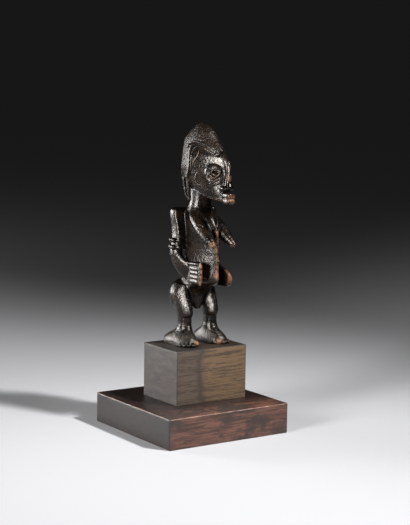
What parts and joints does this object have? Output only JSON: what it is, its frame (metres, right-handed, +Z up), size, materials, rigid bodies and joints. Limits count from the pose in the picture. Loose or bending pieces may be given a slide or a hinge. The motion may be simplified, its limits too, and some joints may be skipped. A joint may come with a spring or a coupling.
{
  "type": "carved standing figure on plinth",
  "caption": "Small carved wooden standing woman with a crested cap of hair, long breasts and hands on the hips, on a wooden block and a square slab.",
  "frame": {"origin": "middle of the underside of the square slab, on the surface it stands on", "axes": "+Z up, the figure faces -Y, its right side is towards -X"},
  "size_m": [0.1014, 0.1014, 0.2224],
  "materials": {
    "slab_wood": "dark reddish-brown stained wood with a satin varnish, slightly worn on the top edges",
    "block_wood": "brown waxed wood with curved growth rings showing on its sides, satin",
    "carved_wood": "near-black oiled patina with a strong sheen, rubbed through to red-brown wood on lips, breast tips, hands, toes and the ridge of the belly"
  },
  "bodies": {
    "root": {"slab": "slab_wood", "block": "block_wood", "figure": "carved_wood"}
  },
  "joints": []
}
